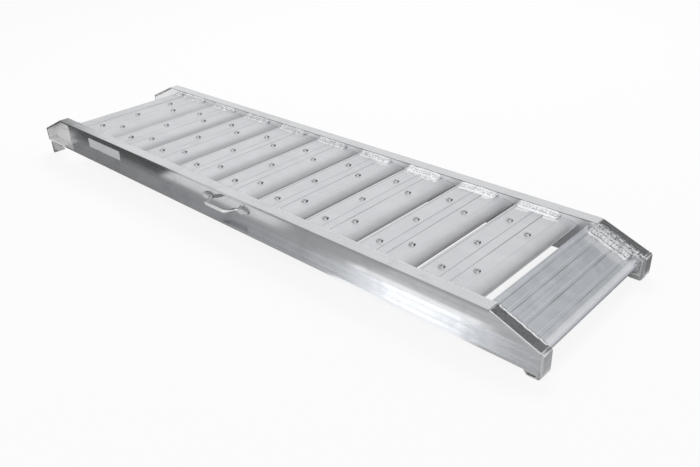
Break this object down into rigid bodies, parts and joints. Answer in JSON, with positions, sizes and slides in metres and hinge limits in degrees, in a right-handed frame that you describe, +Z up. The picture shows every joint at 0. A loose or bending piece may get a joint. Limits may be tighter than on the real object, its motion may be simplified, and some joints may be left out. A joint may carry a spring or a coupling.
{
  "type": "loading ramp",
  "caption": "Welded aluminum loading ramp: channel side rails, ribbed treads with raised pips, a sloped toe tread, hooks under the head end, foot pads and a side handle.",
  "frame": {"origin": "middle of the ramp's box in plan, at the tips of the hooks", "axes": "+X along the ramp from the hooks at the head to the sloped toe, +Z up, and the carrying handle on the -Y side"},
  "size_m": [1.5, 0.3765, 0.1135],
  "materials": {
    "rail": "extruded aluminium, satin, with faint drawing lines along its length",
    "closing_plates": "cut aluminium plate, satin, ground at its welded edges",
    "hook": "bent aluminium plate, satin",
    "foot_pad": "cut aluminium block, satin",
    "tread": "extruded aluminium, satin, with fine lines across the ramp",
    "toe_tread": "extruded aluminium, satin, slightly blue in the shade",
    "handle": "drawn aluminium rod, smooth",
    "weld": "weld metal, rippled, matt grey at its edges",
    "label": "thin plain plate, satin"
  },
  "bodies": {
    "root": {"carrying_handle": "handle", "far_foot_pad": "foot_pad", "far_head_end_plate": "closing_plates", "far_head_slope_strip": "closing_plates", "far_hook": "hook", "far_rail": "rail", "far_toe_end_plate": "closing_plates", "far_toe_slope_strip": "closing_plates", "far_weld_head_strip": "weld", "far_weld_toe_tread": "weld", "far_weld_tread_1": "weld", "far_weld_tread_2": "weld", "far_weld_tread_3": "weld", "far_weld_tread_4": "weld", "far_weld_tread_5": "weld", "far_weld_tread_6": "weld", "far_weld_tread_7": "weld", "far_weld_tread_8": "weld", "far_weld_tread_9": "weld", "handle_weld_head_side": "weld", "handle_weld_toe_side": "weld", "head_strip": "tread", "label_plate": "label", "near_foot_pad": "foot_pad", "near_head_end_plate": "closing_plates", "near_head_slope_strip": "closing_plates", "near_hook": "hook", "near_rail": "rail", "near_toe_end_plate": "closing_plates", "near_toe_slope_strip": "closing_plates", "near_weld_head_strip": "weld", "near_weld_toe_tread": "weld", "near_weld_tread_1": "weld", "near_weld_tread_2": "weld", "near_weld_tread_3": "weld", "near_weld_tread_4": "weld", "near_weld_tread_5": "weld", "near_weld_tread_6": "weld", "near_weld_tread_7": "weld", "near_weld_tread_8": "weld", "near_weld_tread_9": "weld", "toe_tread": "toe_tread", "tread_1": "tread", "tread_2": "tread", "tread_3": "tread", "tread_4": "tread", "tread_5": "tread", "tread_6": "tread", "tread_7": "tread", "tread_8": "tread", "tread_9": "tread"}
  },
  "joints": []
}
